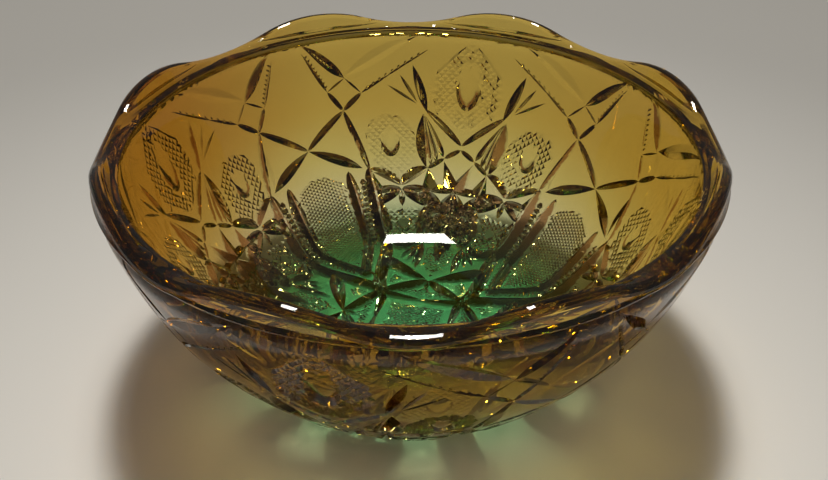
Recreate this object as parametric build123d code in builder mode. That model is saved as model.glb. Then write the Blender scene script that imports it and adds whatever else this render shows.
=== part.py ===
"""Pressed-glass punch bowl: smooth inside, relief-cut outside, scalloped rim, flat base.

The bowl is one casting. It is divided here where the press tool divides it: the ring that
forms the rim, the plain collar under it, the four hinged leaves of the mould that form the
patterned wall, and the bottom plate that forms the base. The pieces meet face to face.

Millimetres, +Z up. The origin is the centre of the face that the bowl stands on.
"""
import os
from math import cos, hypot, pi, radians, sin

from build123d import *

# Rim
rim_radius = 117.0           # outside of the rim
rim_width = 7.8              # inside to outside
bowl_height = 97.4           # table to the crest of a lobe
rim_low_height = 90.2        # table to the hollow between two lobes
rim_step_height = 88.2       # ledge inside the rim
rim_bottom_height = 85.3     # underside of the rim
lobe_count = 8
rim_outer_fillet = 2.8
rim_inner_fillet = 1.2
rim_bottom_fillet = 2.0

# Collar and patterned wall
collar_radius = 113.0        # outside of the plain collar
collar_bottom_height = 78.4  # top of the patterned wall
wall_top_radius = 115.0      # outside of the patterned wall at its top
foot_radius = 65.5           # outside of the flat face that the bowl stands on
wall_outer_lower = (97.6, 34.5)   # middle control points of the outside curve
wall_outer_upper = (104.5, 43.9)
panel_count = 4
first_seam_angle = 30.0      # degrees from +X to the first seam of the mould

# Inside
inner_top_radius = 107.0     # at the underside of the rim
inner_collar_radius = 104.2  # at the bottom of the collar
wall_inner_lower = (81.0, 22.9)   # middle control points of the inside curve
wall_inner_upper = (95.3, 56.5)
floor_radius = 49.0          # where the floor turns up into the wall
floor_edge_height = 13.0
floor_thickness = 9.4        # glass under the middle of the floor
floor_outer_control = (37.0, 9.3)
floor_inner_control = (25.0, 9.4)

# Worked out from the sizes above
inner_rim_radius = rim_radius - rim_width
lobe_pitch = 360 / lobe_count
lobe_rise = bowl_height - rim_low_height
panel_angle = 360 / panel_count

os.makedirs("parts", exist_ok=True)


def radial_section(angle):
    """The plane through the bowl's axis at an angle: x runs outwards and y runs up."""
    a = radians(angle)
    return Plane(origin=(0, 0, 0), x_dir=(cos(a), sin(a), 0), z_dir=(sin(a), -cos(a), 0))


def facing_out(angle):
    """The plane through the bowl's axis that faces outwards at an angle: y runs up."""
    a = radians(angle)
    return Plane(origin=(0, 0, 0), x_dir=(-sin(a), cos(a), 0), z_dir=(cos(a), sin(a), 0))


def top_edges(part, radius):
    """The edges along the rim's wavy top that lie at a radius from the bowl's axis."""
    def is_top(edge):
        middle = edge @ 0.5
        at_radius = abs(hypot(middle.X, middle.Y) - radius) < 0.1
        return at_radius and middle.Z > rim_low_height - 0.5 and edge.length > rim_width * 1.1
    return part.edges().filter_by(is_top)


# Rim: a ring whose top is hollowed between lobes by tangent arcs of equal radius
half_pitch = rim_radius * sin(pi / lobe_count)
quarter_pitch = half_pitch / 2
wave_radius = (quarter_pitch ** 2 + (lobe_rise / 2) ** 2) / lobe_rise
wave_height = (bowl_height + rim_low_height) / 2
cutter_height = bowl_height + rim_width

with BuildPart() as rim:
    with BuildSketch(radial_section(lobe_pitch / 2)):
        with BuildLine():
            Polyline(
                (inner_top_radius, rim_bottom_height),
                (inner_rim_radius, rim_step_height),
                (inner_rim_radius, bowl_height),
                (rim_radius, bowl_height),
                (rim_radius, rim_bottom_height),
                close=True,
            )
        make_face()
    revolve(axis=Axis.Z)
    bottom_edges = rim.edges().filter_by(GeomType.CIRCLE).group_by(Axis.Z)[0]
    fillet(bottom_edges.sort_by(SortBy.RADIUS)[-1:], radius=rim_bottom_fillet)
    for lobe in range(lobe_count):
        with BuildSketch(facing_out(lobe * lobe_pitch)):
            with BuildLine():
                RadiusArc((-half_pitch, bowl_height), (-quarter_pitch, wave_height), wave_radius)
                RadiusArc((-quarter_pitch, wave_height), (0, rim_low_height), -wave_radius)
                RadiusArc((0, rim_low_height), (quarter_pitch, wave_height), -wave_radius)
                RadiusArc((quarter_pitch, wave_height), (half_pitch, bowl_height), wave_radius)
                Polyline((half_pitch, bowl_height), (half_pitch, cutter_height),
                         (-half_pitch, cutter_height), (-half_pitch, bowl_height))
            make_face()
        extrude(amount=rim_radius + rim_width, mode=Mode.SUBTRACT)
    fillet(top_edges(rim, rim_radius), radius=rim_outer_fillet)
    fillet(top_edges(rim, inner_rim_radius), radius=rim_inner_fillet)
rim.part.label = "rim"
export_step(rim.part, "parts/rim.step")

# Collar: the plain band between the rim and the pattern
with BuildPart() as collar:
    with BuildSketch(Plane.XZ):
        with BuildLine():
            Polyline(
                (inner_collar_radius, collar_bottom_height),
                (inner_top_radius, rim_bottom_height),
                (collar_radius, rim_bottom_height),
                (collar_radius, collar_bottom_height),
                close=True,
            )
        make_face()
    revolve(axis=Axis.Z)
collar.part.label = "collar"
export_step(collar.part, "parts/collar.step")

# Patterned wall: one panel for each leaf of the mould
for number in range(panel_count):
    with BuildPart() as panel:
        with BuildSketch(radial_section(first_seam_angle + number * panel_angle)):
            with BuildLine():
                Bezier((foot_radius, 0), wall_outer_lower, wall_outer_upper,
                       (wall_top_radius, collar_bottom_height))
                Line((wall_top_radius, collar_bottom_height),
                     (inner_collar_radius, collar_bottom_height))
                Bezier((inner_collar_radius, collar_bottom_height), wall_inner_upper,
                       wall_inner_lower, (floor_radius, floor_edge_height))
                Line((floor_radius, floor_edge_height), (foot_radius, 0))
            make_face()
        revolve(axis=Axis.Z, revolution_arc=panel_angle)
    panel.part.label = f"wall_panel_{number + 1}"
    export_step(panel.part, f"parts/{panel.part.label}.step")

# Base: flat below and gently dished inside
with BuildPart() as base:
    with BuildSketch(Plane.XZ):
        with BuildLine():
            Polyline((0, floor_thickness), (0, 0), (foot_radius, 0),
                     (floor_radius, floor_edge_height))
            Bezier((floor_radius, floor_edge_height), floor_outer_control,
                   floor_inner_control, (0, floor_thickness))
        make_face()
    revolve(axis=Axis.Z)
base.part.label = "base"
export_step(base.part, "parts/base.step")
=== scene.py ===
"""Looks of the pressed-glass punch bowl: one casting with its relief cut in the mesh, on a pale floor."""

import math

import bmesh
import bpy
import numpy as np
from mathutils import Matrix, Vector
from mathutils.geometry import delaunay_2d_cdt


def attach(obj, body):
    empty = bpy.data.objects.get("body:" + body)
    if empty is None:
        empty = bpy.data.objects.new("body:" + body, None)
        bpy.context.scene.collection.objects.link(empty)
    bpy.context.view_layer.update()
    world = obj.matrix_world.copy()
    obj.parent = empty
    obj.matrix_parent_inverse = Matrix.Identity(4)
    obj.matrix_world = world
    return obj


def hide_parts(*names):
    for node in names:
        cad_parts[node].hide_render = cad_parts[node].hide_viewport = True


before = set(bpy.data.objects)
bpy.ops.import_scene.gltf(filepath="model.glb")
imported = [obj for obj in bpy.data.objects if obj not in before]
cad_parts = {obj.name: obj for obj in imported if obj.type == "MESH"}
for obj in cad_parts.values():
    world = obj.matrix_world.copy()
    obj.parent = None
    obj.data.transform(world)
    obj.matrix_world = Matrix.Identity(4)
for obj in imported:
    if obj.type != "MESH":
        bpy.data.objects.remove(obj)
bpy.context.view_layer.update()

# ---------------------------------------------------------------- sizes, mm
RIM_RADIUS = 117.0
CREST_HEIGHT = 97.4             # top of a lobe
HOLLOW_HEIGHT = 90.2            # between two lobes
LEDGE_HEIGHT = 88.3             # highest place for the underside of the rim's face
RIM_FACE = 2.9                  # depth of the rim's rounded top
INNER_EDGE = (110.0, 90.0)      # (radius, height) of the level edge inside the lobes
LOBES = 8
FOOT_RADIUS = 65.5
FOOT_ROUNDING = 9.0             # either side of the foot's edge, along the outside
WALL_CURVE = ((65.5, 0), (97.6, 34.5), (104.5, 43.9), (115, 78.4))
COLLAR = ((115.5, 80.6), (115.3, 83.0), (114.4, 85.3))
INSIDE_WALL = ((104.2, 78.4), (95.3, 56.5), (81, 22.9), (49, 13))
INSIDE_FLOOR = ((49, 13), (37, 9.3), (25, 9.4), (0, 9.4))
PATTERN_TURN = math.radians(14.85)   # from +Y to the middle of motif 1
WEDGE = math.radians(45)             # the pattern is this wedge, mirrored and repeated
PATTERN_REPEATS = 4
MM = 0.001


def bezier(points, count):
    """Points along a cubic curve."""
    p = np.array(points, float)
    t = np.linspace(0, 1, count)[:, None]
    return (1 - t) ** 3 * p[0] + 3 * (1 - t) ** 2 * t * p[1] + 3 * (1 - t) * t * t * p[2] + t ** 3 * p[3]


# ---------------------------------------------------------------- outside curve, by length along it
def outside_table():
    """(length from the middle of the base, radius, height, radial and upward parts of the normal)."""
    line = np.vstack([[(0, 0)], bezier(WALL_CURVE, 200), COLLAR])
    length = np.concatenate([[0], np.cumsum(np.hypot(*np.diff(line, axis=0).T))])
    s = np.linspace(0, length[-1], 1400)
    r, z = np.interp(s, length, line[:, 0]), np.interp(s, length, line[:, 1])
    low, high = FOOT_RADIUS - FOOT_ROUNDING, FOOT_RADIUS + FOOT_ROUNDING
    t = np.clip((s - low) / (high - low), 0, 1)
    top_r, top_z = np.interp(high, s, r), np.interp(high, s, z)
    near = (s > low) & (s < high)
    r = np.where(near, (1 - t) ** 2 * low + 2 * t * (1 - t) * FOOT_RADIUS + t * t * top_r, r)
    z = np.where(near, t * t * top_z, z)
    dr, dz = np.gradient(r, s), np.gradient(z, s)
    kernel = np.hanning(25)
    kernel /= kernel.sum()
    dr, dz = (np.convolve(np.pad(v, 12, mode="edge"), kernel, mode="valid") for v in (dr, dz))
    size = np.hypot(dr, dz)
    return s, r, z, dz / size, -dr / size


S, R_OUT, Z_OUT, N_R, N_Z = outside_table()
S_TOP = S[-1]


def radius_at(s):
    return np.interp(s, S, R_OUT)


def polar(xy):
    """(angle from motif 1, length along the outside) of points in the plane of the pattern."""
    return np.arctan2(xy[:, 0], xy[:, 1]), np.hypot(xy[:, 0], xy[:, 1])


def from_polar(theta, s):
    return np.stack([s * np.sin(theta), s * np.cos(theta)], 1)


# ---------------------------------------------------------------- the pattern, in one wedge
# Wall cuts run between (degrees from motif 1, length along the outside from the middle of the base).
# Base cuts run between (x, y) on the flat base. Widths are half widths, mm.
SLOPE = 1.5         # depth of a cut over its half width, where no depth is given
WIDER = 1.2         # the upper wall's cuts, against the widths given below
WIDER_LOW = 1.45    # the same for the cuts under LOW_WALL
LOW_WALL = 100.0    # length along the outside
DEEPEST = 5.2       # limit for what WIDER_LOW adds to the depth
STEP = 1.2          # length of the steep step that ends a fan
FAN_END = 1.3       # how far a fan is followed, against its own length
LINE_STEP = 1.3     # spacing of the mesh points along a cut
cuts = []


def cut(a, b, left, right=None, depth=None, shape="leaf", peak=0.5, base=False, end=None, flat=0.0):
    """A cut from a to b; peak is where it is widest, flat is the half width of its bottom."""
    right = left if right is None else right
    depth = SLOPE * max(left, right) if depth is None else depth
    if not base:
        wider = WIDER if a[1] + b[1] > 2 * LOW_WALL else WIDER_LOW
        left, right, depth = wider * left, wider * right, min(wider * depth, max(WIDER * depth, DEEPEST))
    mid_r = 1.0 if base else float(radius_at((a[1] + b[1]) / 2))
    k = (1.0, 1.0) if base else (math.radians(1) * mid_r, 1.0)
    a2, b2 = (a[0] * k[0], a[1]), (b[0] * k[0], b[1])
    cuts.append(dict(a=np.array(a2, float), b=np.array(b2, float), left=left, right=right, depth=depth,
                     shape=shape, peak=peak, base=base, r=mid_r, end=end, flat=flat))


def base_cut(a, b, left, right=None, depth=None, shape="leaf", peak=0.5, flat=0.0):
    cut(a, b, left, right, depth, shape, peak, True, None, flat)


def profile(c, t):
    """Share of the full width at t along the cut."""
    if c["shape"] in ("leaf", "line"):
        peak = c["peak"]
        u = np.where(t < peak, 0.5 * t / peak, 0.5 + 0.5 * (t - peak) / (1 - peak))
        arch = 4 * u * (1 - u)
        return arch if c["shape"] == "leaf" else np.sqrt(np.clip(arch, 0, 1))
    if c["shape"] == "fan":       # widens steadily, and stops at a steep step
        return np.clip(t, 0, FAN_END)
    if c["shape"] == "open":      # full width at the far end
        return np.sqrt(np.clip(t, 0, 1))
    return np.ones_like(t)        # "run": constant, joins the next one


def to_chart(c, theta, s, xy):
    """Points in the flat chart that a cut is drawn in."""
    return xy if c["base"] else np.stack([theta * c["r"], s], 1)


def from_chart(c, q):
    if c["base"]:
        return q
    return from_polar(q[:, 0] / c["r"], q[:, 1])


def cut_lines(c):
    """The edges of a cut and the line or lines of its bottom, in the plane."""
    along = c["b"] - c["a"]
    length = np.hypot(*along)
    t = np.linspace(0, FAN_END if c["end"] else 1, max(4, int(length / LINE_STEP) + 2))
    share = profile(c, t)[:, None]
    middle = c["a"] + t[:, None] * along
    side = np.array([-along[1], along[0]]) / length
    lines = [middle + side * c["left"] * share, middle - side * c["right"] * share]
    if c["flat"]:
        lines += [middle + side * c["flat"] * share, middle - side * c["flat"] * share]
    else:
        lines.append(middle)
    if c["end"]:
        lines = [q[q[:, 1] > c["end"] + 0.2] for q in lines]
    return [from_chart(c, q) for q in lines]


def cut_distance(c, theta, s, xy):
    """(depth of the cut, distance to its nearest line) at points."""
    p = to_chart(c, theta, s, xy)
    along = c["b"] - c["a"]
    length = np.hypot(*along)
    t = np.clip((p - c["a"]) @ along / length ** 2, 0, FAN_END if c["end"] else 1)
    off = p - (c["a"] + t[:, None] * along)
    away = np.hypot(off[:, 0], off[:, 1])
    left = (along[0] * off[:, 1] - along[1] * off[:, 0]) > 0
    wide = np.where(left, c["left"], c["right"]) * profile(c, t)
    deep = c["depth"] * profile(c, t)
    flat = c["flat"] * profile(c, t)
    if c["end"]:
        deep = deep * np.clip(1 - (c["end"] - s) / STEP, 0, 1)
    share = np.clip((wide - away) / np.maximum(wide - flat, 1e-6), 0, 1)
    return np.where(away < wide, deep * share, 0), np.minimum(abs(away - flat), abs(away - wide))


def mirrored(c, kind):
    """A cut seen in the wedge's first edge (kind 0) or its second (kind 1)."""
    def flip(p):
        if kind == 0:
            return np.array([-p[0], p[1]])
        return np.array([p[1], p[0]]) if c["base"] else np.array([2 * WEDGE * c["r"] - p[0], p[1]])

    m = dict(c)
    m["a"], m["b"] = flip(c["a"]), flip(c["b"])
    m["left"], m["right"] = c["right"], c["left"]
    return m


# Motif 1: the cup under the onion medallion
cut((0, 113.2), (10.6, 129.3), 1.35, shape="line")
cut((10.4, 128.2), (14.3, 150.5), 1.8, peak=0.45)
cut((13.1, 133), (17.5, 146), 0.7)
cut((13.2, 132.3), (20.7, 141.4), 0.55)
# The crossing beside it, its notched lines and the leaves above
cut((32.8, 131.2), (45, 115.8), 1.35, shape="line")
cut((32.8, 131.2), (27.7, 101.2), 1.45, shape="line", peak=0.6)
cut((32.8, 131.2), (27.6, 138.6), 1.1, shape="line")
cut((27.6, 138.6), (19.5, 147), 0.6, peak=0.3)
cut((20.5, 146), (10.5, 157.6), 0.38, shape="line", peak=0.2)
cut((32.8, 131.2), (36.3, 141), 1.0, shape="line")
cut((36.3, 141), (41.3, 160.5), 0.75, peak=0.3)
cut((31.5, 146.4), (41.2, 165), 1.9, peak=0.33)
cut((31.5, 147.3), (13, 165), 2.6, depth=0.9, peak=0.4)
cut((31.5, 146.4), (27.6, 138.6), 0.45)
cut((31.5, 146.4), (36.3, 141), 0.45)
for step in range(9):           # notches
    t = 0.1 + step * 0.095
    x, y = 27.6 - 17.1 * t, 138.6 + 19 * t
    cut((x + 0.35, y - 0.3), (x - 0.25, y + 1.3), 0.4)
    x, y = 36.3 + 5 * t, 141 + 19.5 * t
    cut((x + 0.2, y - 0.4), (x - 0.75, y + 1.2), 0.45)
# Motif 2 and the side medallion
cut((45, 115.6), (29.9, 102.5), 2.1, peak=0.58)
cut((31.6, 126), (30.4, 104), 2.4, depth=0.8, peak=0.6)
cut((27.7, 101.6), (17.9, 92.6), 0.8, 2.4, 2.8, "line", 0.6)
cut((17.9, 92.6), (9.5, 101.2), 0.9, 2.9, 3.4, "line", 0.4)
cut((11.4, 127.6), (9.8, 101), 3.9, 1.0, 4.6, peak=0.55)
cut((11.2, 127.2), (8.5, 102.3), 1.2, peak=0.75)
cut((11.0, 127.0), (6.8, 104), 1.2, peak=0.8)
cut((10.8, 126.6), (4.9, 107), 1.2, peak=0.82)
cut((0, 111.2), (4.6, 106.4), 1.0, shape="line")
cut((4.6, 106.4), (9.5, 101), 1.0, shape="line")
cut((4.6, 105), (0, 91), 4.5, 2.0, 5.0, "fan", end=90.4)
cut((9.4, 101.2), (9.1, 91), 2.1, 3.9, 4.4, "fan", end=90.4)
cut((27.7, 101.2), (27.2, 91), 1.2, 3.4, 4.0, "fan", end=90.4)
# Ring line and the stars below it
cut((0, 90.4), (9.1, 90.4), 1.7, 1.2, 2.1, "line")
cut((9.1, 90.4), (17.9, 90.4), 1.6, 1.2, 2.0, "line")
cut((17.9, 90.4), (27.2, 90.6), 1.6, 1.2, 2.0, "line")
cut((17.9, 90.4), (25.9, 83.4), 1.9, 1.2, 2.2, "line")
cut((17.9, 90.4), (9.4, 82), 1.3, 1.8, 2.2, "line")
cut((17.9, 90.4), (17.9, 81.6), 1.1)
cut((27.1, 90.2), (25.9, 84), 0.9, 2.0, 2.4)
cut((0.3, 90), (5.1, 78), 1.5, 3.8, 4.5, peak=0.72)
cut((0, 90.4), (0, 73), 1.6, peak=0.6)
cut((9.1, 90.4), (5.1, 78.2), 2.2, 2.6, 3.2, peak=0.7)
cut((9.1, 90.4), (11.8, 84), 1.8, peak=0.6)
cut((9.1, 90.4), (9.4, 82), 1.6)
cut((9.4, 82), (5.1, 78.2), 1.8, shape="line")
cut((5.1, 78.2), (0, 72.8), 2.0, 2.6, 3.0, "line")
cut((5.1, 78.2), (8.5, 65), 2.2, depth=3.2)
cut((5.1, 78.2), (3.0, 65), 2.2, depth=3.2)
cut((9.4, 82), (8, 69.5), 1.8)
cut((9.4, 82), (6.7, 69), 1.6)
cut((0, 72.8), (6.4, 66), 2.2, shape="line")
cut((6.3, 66), (9.4, 59.5), 2.0, shape="line")
cut((0, 76), (0, 44), 2.8, depth=3.4)
# Small medallion frame
cut((9.5, 82), (10.7, 59.5), 2.7, 1.0, 3.2, peak=0.5)
cut((26.0, 86), (24.8, 61), 1.0, 2.7, 3.2, peak=0.5)
cut((24.7, 65), (19, 55), 2.0, shape="line")
cut((19, 55), (11.3, 61), 2.0, shape="line")
# The band between the motifs: two long grooves that run down onto the base
GROOVE_1 = [(28.0, 102.5), (27.1, 90), (26.7, 80), (26.2, 70), (25.8, 62)]
GROOVE_2 = [(34.6, 102), (33.9, 90), (33.4, 80), (33.2, 70), (33.2, 62)]
GROOVE_1_BASE = [(27.0, 55.8), (26.0, 52.6), (24.4, 46.4), (23.6, 39.4), (22.6, 32.5), (21.3, 24.5),
                 (18.9, 17.9)]
GROOVE_2_BASE = [(33.9, 51.9), (32.3, 46.4), (30.6, 39.4), (29.2, 32.5), (28.3, 28.3)]


def groove(points, left, right, depth, base, flat, start="open"):
    """A chain of cuts of one width, which opens to that width at its start."""
    for number, (a, b) in enumerate(zip(points, points[1:])):
        shape = start if number == 0 and start else "run"
        cut(a, b, left, right, depth, shape, base=base, flat=flat)


# The left side of each groove, going down, is the one towards motif 2
groove(GROOVE_1, 3.4, 2.2, 4.0, False, 0.6)
groove(GROOVE_1_BASE, 2.7, 3.5, 3.8, True, 0.5, start=None)
groove(GROOVE_2, 2.6, 2.2, 3.4, False, 0.45)
groove(GROOVE_2_BASE, 3.1, 2.1, 3.4, True, 0.45, start=None)
for step in range(12):          # beads of the band
    s0 = 95.5 - step * 2.9
    t0 = 30.5
    cut((t0 - 1.1, s0), (t0 + 1.1, s0), 1.3, depth=1.6)
for step in range(10):          # and their smaller ones on the base
    f = step / 9
    x0, y0 = 31.4 - 3.6 * f, 52.5 - 19.5 * f
    base_cut((x0 - 1.5, y0 + 0.5), (x0 + 1.5, y0 - 0.5), 1.1, depth=0.9)

# Base star
base_cut((0, 30), (18.4, 18), 2.6, 2.8, 4.4, "line", flat=0.35)
base_cut((0, 30), (24.5, 42.5), 3.2, 3.6, 5.2, peak=0.72, flat=0.4)
base_cut((-1, 15.9), (18.4, 17.4), 1.6, 3.0, 3.2, "open", flat=0.3)
base_cut((0, 30), (0, 23.5), 1.1, depth=1.6)
base_cut((9.7, 58.7), (8.2, 38.2), 1.9, peak=0.45)
base_cut((9.5, 56), (10.4, 41.2), 1.0)
base_cut((10.4, 56.8), (13.4, 43.5), 1.1)
base_cut((12, 55.5), (16.8, 46), 1.1)


# ---------------------------------------------------------------- fields of small pyramids, and eyes
def wall_outline(points):
    return from_polar(np.radians([p[0] for p in points]), np.array([p[1] for p in points], float))


fields = [
    # outline in the plane, centre on the wall (None on the base), pitch, turn of the lattice, depth of its
    # grooves, and how unevenly they are cut
    dict(line=wall_outline([(-8, 128), (-9.3, 138), (-8.2, 148), (-4, 156), (0, 162.5), (4, 156), (8.2, 148),
                            (9.3, 138), (8, 128), (3, 122), (0, 119), (-3, 122)]),
         at=(0, 142), pitch=2.4, turn=45, high=0.92, rough=0.5),
    dict(line=wall_outline([(13.6, 117), (14.6, 122), (17.5, 126.3), (22, 128), (26, 125), (27.6, 119),
                            (27.4, 108), (25.8, 102.5), (18.1, 95), (12.2, 101.5)]),
         at=(20.7, 113), pitch=2.3, turn=45, high=0.8, rough=0.3),
    dict(line=wall_outline([(11.9, 79.5), (13.5, 81.5), (17.8, 80.6), (22, 81.5), (24, 79.5), (23.8, 68),
                            (22.9, 63.5), (18.8, 58.2), (12.8, 62.5)]),
         at=(17.7, 71), pitch=2.0, turn=45, high=0.95, rough=0.3),
    dict(line=np.vstack([wall_outline([(45, 102.6), (41, 101), (37.6, 97.6), (35.9, 93), (35.6, 80),
                                       (35.8, 70), (36.3, 62.8)]),
                         [(35.4, 46.4), (33.9, 37.4), (33.4, 33.4), (37.4, 33.9), (46.4, 35.4)],
                         wall_outline([(53.7, 62.8), (54.2, 70), (54.4, 80), (54.1, 93), (52.4, 97.6),
                                       (49, 101)])]),
         at=(45, 80), pitch=1.75, turn=60, high=0.6, rough=0.05),
    *(dict(line=np.array(line, float), at=None, pitch=pitch, turn=45, high=high, rough=0.6)
      for line, pitch, high in (
          ([(-11.4, -11.4), (11.4, -11.4), (11.4, 11.4), (-11.4, 11.4)], 1.4, 0.85),
          ([(10.6, 28.3), (17.2, 32.6), (16.2, 23.2)], 1.4, 0.85),
          ([(28.3, 10.6), (32.6, 17.2), (23.2, 16.2)], 1.4, 0.85),
          ([(0, 24.6), (12.6, 19.3), (0, 18.6), (-12.6, 19.3)], 1.4, 0.85),
          ([(0, 33), (-5.6, 41.5), (-6.6, 56), (6.6, 56), (5.6, 41.5)], 1.5, 0.9))),
]
eyes = [
    # centre, half width, half height and depth, all on the wall
    ((0, 141), 4.6, 8.4, 2.0),
    ((20.7, 113.2), 3.5, 4.8, 2.0),
    ((17.8, 71.3), 2.4, 2.8, 1.4),
]
ROUGH = 0.4         # fields over this have an uneven lattice too
EYE_EDGE = 1.3      # where an eye's bowl runs out, against its size
EYE_MARGIN = 1.4    # the mesh of the fields keeps outside this


def inside(points, outline):
    """Which points lie inside a closed outline."""
    hit = np.zeros(len(points), bool)
    x, y = points[:, 0], points[:, 1]
    for (x0, y0), (x1, y1) in zip(outline, np.roll(outline, -1, axis=0)):
        crosses = (y0 > y) != (y1 > y)
        hit ^= crosses & (x < (x1 - x0) * (y - y0) / (y1 - y0 + 1e-12) + x0)
    return hit


def outline_distance(points, outline):
    """Distance of points to a closed outline."""
    best = np.full(len(points), 1e9)
    for a, b in zip(outline, np.roll(outline, -1, axis=0)):
        d = b - a
        t = np.clip((points - a) @ d / (d @ d), 0, 1)
        best = np.minimum(best, np.hypot(*(points - a - t[:, None] * d).T))
    return best


def field_chart(f, xy):
    """Lattice coordinates of points: whole numbers at the crossings of the small grooves."""
    if f["at"] is None:
        u, v = xy[:, 0], xy[:, 1]
    else:
        theta, s = polar(xy)
        u, v = (theta - math.radians(f["at"][0])) * radius_at(s), s - f["at"][1]
    a = math.radians(f["turn"])
    return np.stack([u * math.cos(a) + v * math.sin(a), -u * math.cos(a) + v * math.sin(a)], 1) / (
        f["pitch"] * 2 * math.sin(a) * math.cos(a))


def field_points(f):
    """(crossings of the field's grooves, pairs of them that a groove joins, peaks of its pyramids)."""
    a = math.radians(f["turn"])
    scale = f["pitch"] * 2 * math.sin(a) * math.cos(a)

    def place(q):
        u = (q[:, 0] - q[:, 1]) / (2 * math.cos(a)) * scale
        v = (q[:, 0] + q[:, 1]) / (2 * math.sin(a)) * scale
        if f["at"] is None:
            return np.stack([u, v], 1)
        s = v + f["at"][1]
        with np.errstate(divide="ignore", invalid="ignore"):    # none past the base's middle is used
            theta = math.radians(f["at"][0]) + u / radius_at(s)
            return from_polar(theta, s)

    n = 40      # lattice cells either side of the centre, more than any field needs
    grid = np.stack(np.meshgrid(np.arange(-n, n + 1), np.arange(-n, n + 1)), -1).reshape(-1, 2)
    nodes, peaks = place(grid), place(grid + 0.5)
    number = np.arange(len(grid)).reshape(2 * n + 1, 2 * n + 1)
    links = np.vstack([np.stack([number[:, :-1].ravel(), number[:, 1:].ravel()], 1),
                       np.stack([number[:-1].ravel(), number[1:].ravel()], 1)])
    return nodes, links, peaks


def eye_share(e, theta, s):
    """How far points lie from the middle of an eye, 1 at its edge."""
    (at_t, at_s), half_wide, half_high, _ = e
    across = (theta - math.radians(at_t)) * radius_at(np.array(at_s))
    return np.hypot(across / half_wide, (s - at_s) / half_high)


def depth_at(xy):
    """Depth of the relief under the smooth outside at points of the plane."""
    theta, s = polar(xy)
    depth = np.zeros(len(xy))
    rng = np.random.default_rng(5)
    for f in fields:
        within = inside(xy, f["line"]) & (outline_distance(xy, f["line"]) > 0.12)
        q = field_chart(f, xy)
        saw = 2 * abs(q - np.floor(q) - 0.5)
        wave = f["high"] * np.max(saw, axis=1)
        wave = wave * (1 - f["rough"] * rng.random(len(xy)))
        depth = np.where(within, np.maximum(depth, wave), depth)
    for e in eyes:
        share = eye_share(e, theta, s)
        # deepest at the lower end and nearly flush at the top, which leaves a U
        low = np.clip(0.55 - 0.75 * (s - e[0][1]) / e[2] / np.maximum(share, 0.3), 0.12, 1)
        ring = np.where(share < 1, e[3] * share ** 2, e[3] * np.clip((EYE_EDGE - share) / 0.3, 0, 1))
        depth = np.where(share < EYE_EDGE, ring * low, depth)
    for c in all_cuts:
        depth = np.maximum(depth, cut_distance(c, theta, s, xy)[0])
    fade = np.clip((S_TOP - s) / 1.2, 0, 1)     # the relief runs out at the collar's top edge
    return depth * fade


def near_wedge(line):
    theta = polar(line)[0]
    return bool(((theta > -0.002) & (theta < WEDGE + 0.002)).any())


all_cuts = []
for c in cuts:
    for m in (c, mirrored(c, 0), mirrored(c, 1)):
        if any(near_wedge(q) for q in cut_lines(m)):
            all_cuts.append(m)


CLEAR = 0.3                                 # free points keep this far from the lines
OUTLINE_STEP = 1.5                          # spacing of the mesh points along a field's outline
GRID = ((1.15, 0, 106), (1.9, 106, 170))    # spacing, from and to which length along the outside


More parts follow.
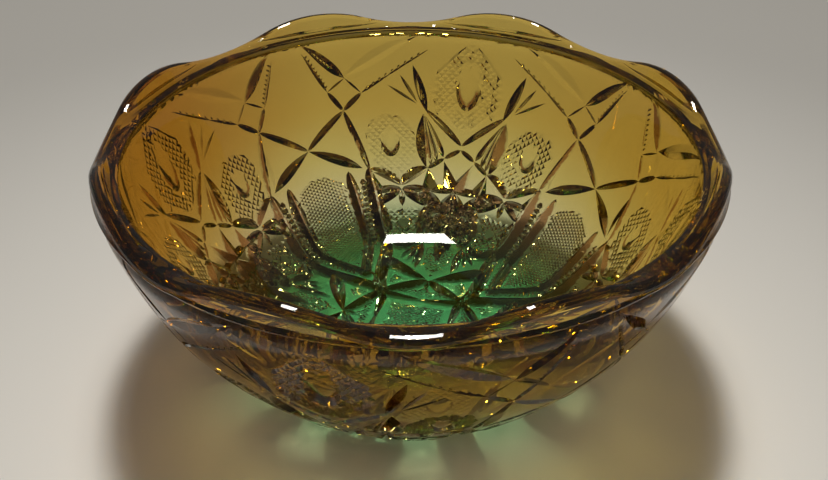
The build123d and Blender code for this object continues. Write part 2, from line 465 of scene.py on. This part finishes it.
def build_wedge():
    """Vertices in the plane and triangles of the pattern in its wedge."""
    rng = np.random.default_rng(3)
    verts, edges = [], []

    def add_line(line, closed=False):
        first = sum(len(v) for v in verts)
        verts.append(line)
        n = len(line)
        edges.extend((first + i, first + i + 1) for i in range(n - 1))
        if closed:
            edges.append((first + n - 1, first))

    steps = np.linspace(0, S_TOP, 120)
    add_line(np.stack([0 * steps, steps], 1))
    add_line(np.stack([steps * math.sin(WEDGE), steps * math.cos(WEDGE)], 1))
    arc = np.linspace(0, WEDGE, 38)
    add_line(np.stack([S_TOP * np.sin(arc), S_TOP * np.cos(arc)], 1))
    for c in all_cuts:
        for line in cut_lines(c):
            keep = np.hypot(line[:, 0], line[:, 1]) < S_TOP - CLEAR
            if keep.sum() > 1:
                add_line(line[keep])
    for f in fields:
        pts = []
        for a, b in zip(f["line"], np.roll(f["line"], -1, axis=0)):
            n = max(1, int(np.hypot(*(b - a)) / OUTLINE_STEP))
            pts += [a + (b - a) * i / n for i in range(n)]
        add_line(np.array(pts), closed=True)

    def clear(pts):
        """Points inside the wedge that keep off its edges and the lines of the cuts."""
        theta, s = polar(pts)
        across = np.minimum(abs(pts[:, 0]), abs(pts[:, 0] - pts[:, 1]) / math.sqrt(2))
        keep = (theta > -1e-6) & (theta < WEDGE + 1e-6) & (s < S_TOP - 0.6)
        keep &= (across > CLEAR) | (across < 1e-3)
        for c in all_cuts:
            keep &= cut_distance(c, theta, s, pts)[1] > CLEAR
        return keep

    def usable(pts, f):
        """Points of a field's lattice that the mesh can take."""
        theta, s = polar(pts)
        keep = inside(pts, f["line"]) & (outline_distance(pts, f["line"]) > 0.4)
        for e in eyes:
            keep &= eye_share(e, theta, s) > EYE_MARGIN
        keep[keep] = clear(pts[keep])
        return keep

    grid = []
    for spacing, low, high in GRID:
        gx, gy = np.meshgrid(np.arange(0, 130, spacing), np.arange(0, 170, spacing * 0.866))
        gx = gx + (np.arange(gx.shape[0]) % 2)[:, None] * spacing / 2
        s = np.hypot(gx, gy)
        keep = (s >= low) & (s < high)
        grid.append(np.stack([gx[keep], gy[keep]], 1))
    grid = np.vstack(grid)
    for f in fields:
        grid = grid[~inside(grid, f["line"])]
    for f in fields:
        nodes, links, peaks = field_points(f)
        if f["rough"] > ROUGH:
            nodes = nodes + rng.uniform(-0.25, 0.25, nodes.shape)
        keep = usable(nodes, f)
        place = np.full(len(nodes), -1)
        place[keep] = np.arange(keep.sum()) + sum(len(v) for v in verts)
        verts.append(nodes[keep])
        edges.extend((int(place[i]), int(place[j])) for i, j in links if place[i] >= 0 and place[j] >= 0)
        verts.append(peaks[usable(peaks, f)])
    eye_rings = []
    for e in eyes:
        for share, count in ((0, 1), (0.35, 8), (0.7, 14), (1, 20), (EYE_EDGE, 22)):
            a = np.linspace(0, 2 * math.pi, count, endpoint=False)
            s = e[0][1] + e[2] * share * np.sin(a)
            theta = math.radians(e[0][0]) + e[1] * share * np.cos(a) / radius_at(np.array(e[0][1]))
            eye_rings.append(from_polar(theta, s) + [0.0, 1e-4])
    pts = np.vstack(eye_rings)
    verts.append(pts[clear(pts)])
    keep = clear(grid)
    theta, s = polar(grid)
    for e in eyes:
        keep &= eye_share(e, theta, s) > EYE_MARGIN
    verts.append(grid[keep])
    xy = np.vstack(verts)
    out = delaunay_2d_cdt([Vector(p) for p in xy], edges, [], 0, 0.02, False)
    plane = np.array([tuple(v) for v in out[0]])
    tris = np.array([t for t in out[2] if len(t) == 3])
    middle = plane[tris].mean(axis=1)
    angle = np.arctan2(middle[:, 0], middle[:, 1])
    tris = tris[(angle > 0) & (angle < WEDGE)]
    used = np.unique(tris)
    index = np.full(len(plane), -1)
    index[used] = np.arange(len(used))
    return plane[used], index[tris]


def rim_height(angle):
    """Height of the wavy top at an angle from +X."""
    pitch = 2 * math.pi / LOBES
    h = abs((angle + pitch / 2) % pitch - pitch / 2)
    half = RIM_RADIUS * math.sin(math.pi / LOBES)
    quarter = half / 2
    rise = CREST_HEIGHT - HOLLOW_HEIGHT
    bend = (quarter ** 2 + (rise / 2) ** 2) / rise
    d = RIM_RADIUS * math.sin(h)
    if d < quarter:
        return HOLLOW_HEIGHT + bend - math.sqrt(bend ** 2 - d ** 2)
    return CREST_HEIGHT - bend + math.sqrt(max(bend ** 2 - (half - d) ** 2, 0))


def section_above(angle):
    """(radius, height) from the top of the collar over the rim and down the inside to the middle."""
    top = rim_height(angle)
    er, ez = INNER_EDGE
    low, face = COLLAR[-1][1], top - RIM_FACE
    lip = min(LEDGE_HEIGHT, face - 0.1) - low
    line = [(115.4, low + 0.25 * lip), (116.4, low + 0.45 * lip), (117.1, low + 0.68 * lip),
            (117.3, low + 0.9 * lip)]
    line += [(r, low + lip + (face - low - lip) * k / 4)
             for k, r in ((0, 117.1), (1, 116.6), (2.5, 116.8), (4, 117))]
    line += [(116.8, top - 1.8), (116.25, top - 0.95), (115.4, top - 0.35), (114.3, top - 0.05),
             (113.3, top - 0.1), (112.5, top - 0.1 - 0.06 * (top - ez)),
             (111.8, top - 0.1 - 0.17 * (top - ez))]
    last = line[-1]
    line += [(last[0] + (er - last[0]) * k, last[1] + (ez - last[1]) * k) for k in (0.25, 0.5, 0.75, 1)]
    line += [(109.2, 89.9), (108.3, 89.6), (107.6, 89.0), (107.4, 88.2), (107.7, 87.3), (108.1, 86.4),
             (107.8, 85.4), (107.0, 83.8), (105.6, 81.4)]
    return line


SHALLOW = 0.8           # depth up to which a groove gets no painted shade, and full painted shade from twice that
MERGE = 0.00002         # metres, for doubled vertices
DEGENERATE = 0.000002   # metres, for edges of no length
SHARP = 11              # degrees between faces that look sharp


def steepness(r, z, theta, s, tris):
    """For each point, how far the steepest face beside it leans from the smooth outside, 0 for not at all."""
    points = np.stack([r * np.sin(theta), r * np.cos(theta), z], 1)
    a, b, c = points[tris[:, 0]], points[tris[:, 1]], points[tris[:, 2]]
    normal = np.cross(b - a, c - a)
    normal /= np.maximum(np.linalg.norm(normal, axis=1, keepdims=True), 1e-9)
    mid_theta, mid_s = theta[tris].mean(1), s[tris].mean(1)
    n_r, n_z = np.interp(mid_s, S, N_R), np.interp(mid_s, S, N_Z)
    smooth = np.stack([n_r * np.sin(mid_theta), n_r * np.cos(mid_theta), n_z], 1)
    shade_lean = 1 - abs((normal * smooth).sum(1))
    result = np.zeros(len(r))
    for k in range(3):
        np.maximum.at(result, tris[:, k], shade_lean)
    return result


def build_bowl():
    """The glass as one closed mesh, with a point attribute of how steep the sides of its deep cuts are, which
    the material turns into painted shade.
    """
    plane, tris = build_wedge()
    theta, s = polar(plane)
    depth = depth_at(plane)
    r = np.interp(s, S, R_OUT) - np.interp(s, S, N_R) * depth
    z = np.interp(s, S, Z_OUT) - np.interp(s, S, N_Z) * depth
    # how much painted shade each point of the outside gets, from how steep its faces are: hardly any in the
    # fields, whose grooves go little deeper than SHALLOW
    painted_cut_shade = steepness(r, z, theta, s, tris) * np.clip((depth - SHALLOW) / SHALLOW, 0, 1)
    verts, faces = [], []
    for k in range(PATTERN_REPEATS):
        for flip in (1, -1):
            a = PATTERN_TURN + k * math.pi / 2 + flip * theta
            first = sum(len(v) for v in verts)
            verts.append(np.stack([r * np.sin(a), r * np.cos(a), z], 1))
            faces.append((tris if flip == 1 else tris[:, ::-1]) + first)
    outer = np.vstack(verts)
    tri_faces = np.vstack(faces)
    # the inside and the rim continue each vertex of the top ring
    ring_angles = np.sort(theta[s > S_TOP - 0.01])
    columns = []
    for k in range(PATTERN_REPEATS):
        columns += list(PATTERN_TURN + k * math.pi / 2 + ring_angles[1:])
        columns += list(PATTERN_TURN + k * math.pi / 2 - ring_angles[:-1])
    columns = np.unique(np.round(np.mod(columns, 2 * math.pi), 6))
    inner = np.vstack([bezier(INSIDE_WALL, 44), bezier(INSIDE_FLOOR, 16)[1:-1]])
    rows = []
    for a in columns:
        line = [(COLLAR[-1][0], COLLAR[-1][1])] + section_above(math.pi / 2 - a) + [tuple(q) for q in inner]
        rows.append([(x * math.sin(a), x * math.cos(a), y) for x, y in line])
    rows = np.array(rows)
    n, m = rows.shape[:2]
    first = len(outer)
    lathe = rows.reshape(-1, 3)
    centre = np.array([[0, 0, INSIDE_FLOOR[-1][1]]])
    quads = []
    for i in range(n):
        j = (i + 1) % n
        for k in range(m - 1):
            quads.append((first + i * m + k, first + i * m + k + 1,
                          first + j * m + k + 1, first + j * m + k))
    middle = first + len(lathe)
    caps = [(first + i * m + m - 1, middle, first + ((i + 1) % n) * m + m - 1) for i in range(n)]
    all_verts = np.vstack([outer, lathe, centre]) * MM
    mesh = bpy.data.meshes.new("bowl_glass")
    mesh.from_pydata([tuple(v) for v in all_verts], [],
                     [tuple(map(int, t)) for t in tri_faces] + quads + caps)
    # the painted shade of the cuts goes to the material as this attribute, none on the inside and the rim
    shade_lean = mesh.attributes.new("shade_lean", "FLOAT", "POINT")
    outside = np.tile(painted_cut_shade, 2 * PATTERN_REPEATS)
    shade_lean.data.foreach_set("value", np.concatenate([outside, np.zeros(len(all_verts) - len(outside))]))
    bm = bmesh.new()
    bm.from_mesh(mesh)
    bmesh.ops.remove_doubles(bm, verts=bm.verts, dist=MERGE)
    bmesh.ops.dissolve_degenerate(bm, edges=bm.edges, dist=DEGENERATE)
    bmesh.ops.recalc_face_normals(bm, faces=bm.faces)
    bm.to_mesh(mesh)
    bm.free()
    mesh.shade_smooth()
    mesh.set_sharp_from_angle(angle=math.radians(SHARP))
    bowl = bpy.data.objects.new("bowl_glass", mesh)
    bpy.context.scene.collection.objects.link(bowl)
    return bowl


# ---------------------------------------------------------------- materials
def new_material(name):
    mat = bpy.data.materials.new(name)
    mat.use_nodes = True
    mat.node_tree.nodes.clear()
    return mat, mat.node_tree.nodes, mat.node_tree.links


def map_range(nodes, links, source, low, high):
    """A value scaled from low..high to 0..1."""
    node = nodes.new("ShaderNodeMapRange")
    node.inputs["From Min"].default_value = low
    node.inputs["From Max"].default_value = high
    links.new(source, node.inputs["Value"])
    return node.outputs["Result"]


def color_ramp(nodes, links, source, stops):
    node = nodes.new("ShaderNodeValToRGB")
    elements = node.color_ramp.elements
    while len(elements) < len(stops):
        elements.new(0.5)
    for element, (place, color) in zip(elements, stops):
        element.position, element.color = place, (*color, 1)
    links.new(source, node.inputs["Fac"])
    return node.outputs["Color"]


def multiply(nodes):
    """(factor, first colour, second colour, result) of a node that multiplies colours."""
    node = nodes.new("ShaderNodeMix")
    node.data_type = "RGBA"
    node.blend_type = "MULTIPLY"
    return node.inputs["Factor"], node.inputs[6], node.inputs[7], node.outputs[2]


# What the glass lets through: by height in units of 0.1 m, and by X over the bowl's width
HEIGHT_TINT = [(0.05, (0.24, 0.92, 0.70)), (0.15, (0.62, 1.0, 0.86)), (0.26, (0.97, 1.0, 0.88)),
               (0.38, (0.94, 0.90, 0.42)), (0.60, (0.89, 0.68, 0.18))]
SIDE_TINT = [(0.05, (0.68, 0.42, 0.20)), (0.32, (1.0, 0.97, 0.95)), (0.7, (1.0, 1.0, 1.0)),
             (0.97, (0.86, 0.74, 0.55))]
CUT_PAINTED_SHADE = (0.26, 0.10, 0.05, 1)        # painted shade, multiplied into the glass colour on the steep sides of the deep cuts
BORDER_NOISE = 0.08                     # how uneven the change of colour is, in the same units of height


def glass_material():
    mat, nodes, links = new_material("graded_glass")
    out = nodes.new("ShaderNodeOutputMaterial")
    shader = nodes.new("ShaderNodeBsdfPrincipled")
    coords = nodes.new("ShaderNodeTexCoord")
    split = nodes.new("ShaderNodeSeparateXYZ")
    noise = nodes.new("ShaderNodeTexNoise")
    add = nodes.new("ShaderNodeMath")
    shader.inputs["Transmission Weight"].default_value = 1.0
    shader.inputs["IOR"].default_value = 1.5
    shader.inputs["Roughness"].default_value = 0.0
    links.new(coords.outputs["Object"], split.inputs[0])
    links.new(coords.outputs["Object"], noise.inputs["Vector"])
    noise.inputs["Scale"].default_value = 14
    noise.inputs["Detail"].default_value = 2
    add.operation = "MULTIPLY_ADD"
    links.new(noise.outputs["Fac"], add.inputs[0])
    add.inputs[1].default_value = BORDER_NOISE
    links.new(map_range(nodes, links, split.outputs["Z"], 0.0, 0.1), add.inputs[2])
    side = map_range(nodes, links, split.outputs["X"], -0.115, 0.115)
    factor, first, second, tinted = multiply(nodes)
    factor.default_value = 1.0
    links.new(color_ramp(nodes, links, add.outputs[0], HEIGHT_TINT), first)
    links.new(color_ramp(nodes, links, side, SIDE_TINT), second)
    # painted shade: the glass colour is darkened where the sides of the deep cuts are steep
    shade_lean = nodes.new("ShaderNodeAttribute")
    shade_lean.attribute_name = "shade_lean"
    factor, first, second, shaded = multiply(nodes)
    second.default_value = CUT_PAINTED_SHADE
    links.new(map_range(nodes, links, shade_lean.outputs["Fac"], 0.05, 0.22), factor)
    links.new(tinted, first)
    links.new(shaded, shader.inputs["Base Color"])
    links.new(shader.outputs[0], out.inputs["Surface"])
    volume = nodes.new("ShaderNodeVolumeAbsorption")
    volume.inputs["Color"].default_value = (0.72, 0.6, 0.0, 1)
    volume.inputs["Density"].default_value = 50.0
    links.new(volume.outputs[0], out.inputs["Volume"])
    return mat


def floor_material():
    mat, nodes, links = new_material("pale_floor")
    out = nodes.new("ShaderNodeOutputMaterial")
    shader = nodes.new("ShaderNodeBsdfPrincipled")
    shader.inputs["Base Color"].default_value = (0.78, 0.76, 0.71, 1)
    shader.inputs["Roughness"].default_value = 0.65
    noise = nodes.new("ShaderNodeTexNoise")
    noise.inputs["Scale"].default_value = 900
    bump = nodes.new("ShaderNodeBump")
    bump.inputs["Strength"].default_value = 0.05
    bump.inputs["Distance"].default_value = 0.0005
    links.new(noise.outputs["Fac"], bump.inputs["Height"])
    links.new(bump.outputs[0], shader.inputs["Normal"])
    links.new(shader.outputs[0], out.inputs["Surface"])
    return mat


# ---------------------------------------------------------------- the object
bowl = build_bowl()
bowl.data.materials.append(glass_material())
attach(bowl, "root")
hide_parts("rim", "collar", "wall_panel_1", "wall_panel_2", "wall_panel_3", "wall_panel_4", "base")

# ---------------------------------------------------------------- floor, light, camera
FLOOR_HALF = 6.0        # metres
FLOOR_HEIGHT = -0.0004  # just under the base
floor_mesh = bpy.data.meshes.new("floor")
floor_mesh.from_pydata([(x * FLOOR_HALF, y * FLOOR_HALF, FLOOR_HEIGHT)
                        for x, y in ((-1, -1), (1, -1), (1, 1), (-1, 1))], [], [(0, 1, 2, 3)])
floor = bpy.data.objects.new("floor", floor_mesh)
bpy.context.scene.collection.objects.link(floor)
floor.data.materials.append(floor_material())


LAMP_AT = Vector((-0.07, 0.86, 2.4))
LAMP_COLOR = (1.0, 0.97, 0.92)


def add_lamp(name, kind, power, target):
    """A lamp at LAMP_AT that points at target."""
    data = bpy.data.lights.new(name, kind)
    data.energy = power
    data.color = LAMP_COLOR
    lamp = bpy.data.objects.new(name, data)
    lamp.location = LAMP_AT
    lamp.rotation_euler = (Vector(target) - LAMP_AT).to_track_quat("-Z", "Y").to_euler()
    bpy.context.scene.collection.objects.link(lamp)
    return data


# The ceiling lamp makes the highlights, and the spot the pool of light round the bowl
ceiling = add_lamp("ceiling_lamp", "AREA", 3.0, (0, 0.05, 0))
ceiling.shape = "RECTANGLE"
ceiling.size, ceiling.size_y = 0.6, 0.4
ceiling.spread = math.radians(70)
pool = add_lamp("pool_lamp", "SPOT", 126.0, (0, -0.09, 0))
pool.spot_size = math.radians(11.4)
pool.spot_blend = 0.3
pool.shadow_soft_size = 0.18

world = bpy.data.worlds.new("room")
world.use_nodes = True
background = world.node_tree.nodes["Background"]
background.inputs["Color"].default_value = (1.0, 0.96, 0.9, 1)
background.inputs["Strength"].default_value = 0.15
bpy.context.scene.world = world

camera_data = bpy.data.cameras.new("camera")
camera_data.lens = 48.09
camera_data.sensor_width = 36
camera_data.clip_start = 0.01
camera = bpy.data.objects.new("camera", camera_data)
camera.location = (0, -0.3640, 0.2924)
camera.rotation_euler = (math.radians(90 - 34.05), 0, math.radians(-0.2))
bpy.context.scene.collection.objects.link(camera)

scene = bpy.context.scene
scene.camera = camera
scene.cycles.max_bounces = 24
scene.cycles.transmission_bounces = 24
scene.cycles.glossy_bounces = 12
scene.cycles.transparent_max_bounces = 24
scene.view_settings.view_transform = "Standard"
